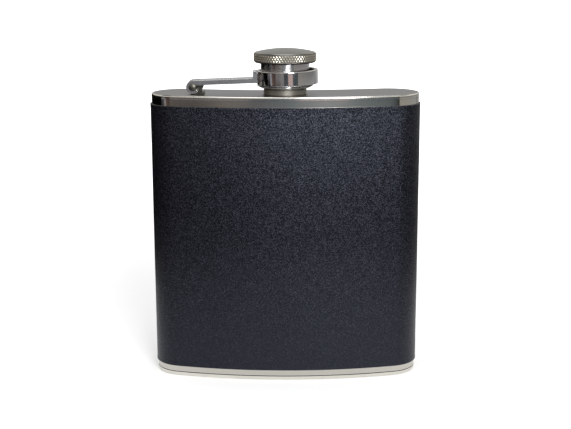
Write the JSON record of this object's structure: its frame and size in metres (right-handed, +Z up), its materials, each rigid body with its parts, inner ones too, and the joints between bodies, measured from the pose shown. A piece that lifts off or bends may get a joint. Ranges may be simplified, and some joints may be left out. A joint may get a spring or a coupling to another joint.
{
  "type": "leather-wrapped hip flask",
  "caption": "Curved steel hip flask in a leather sleeve, with a knurled screw cap held captive by a ring on a hinged swing arm.",
  "frame": {"origin": "centre of the bounding box at the foot of the flask, on the surface that it stands on", "axes": "+Z up through the neck, -Y out of the convex front face, -X towards the hinge of the cap's arm"},
  "size_m": [0.093, 0.026, 0.1147],
  "materials": {
    "satin_steel": "satin rolled sheet",
    "polished_steel": "polished",
    "bright_plate": "bright nickel plated",
    "navy_leather": "fine pebble grain, semi matt",
    "cap_seal": "white food-grade liner"
  },
  "bodies": {
    "flask": {"body_wall": "satin_steel", "top_plate": "polished_steel", "base_plate": "satin_steel", "neck": "polished_steel", "leather_wrap": "navy_leather", "hinge_bracket": "polished_steel", "hinge_pin": "polished_steel"},
    "arm": {"swing_arm": "bright_plate", "cap_ring": "bright_plate"},
    "cap": {"cap_sleeve": "bright_plate", "cap_head": "satin_steel", "cap_seal": "cap_seal"}
  },
  "joints": [
    {"name": "arm_swing", "type": "hinge", "parent": "flask", "child": "arm", "pos_m": [-0.0312, -0.00229, 0.1019], "axis": [0, -1, 0], "range_deg": [0, 175]},
    {"name": "cap_turn", "type": "hinge", "parent": "arm", "child": "cap", "pos_m": [0, -0.00229, 0.105], "axis": [0, 0, 1], "continuous": true}
  ]
}
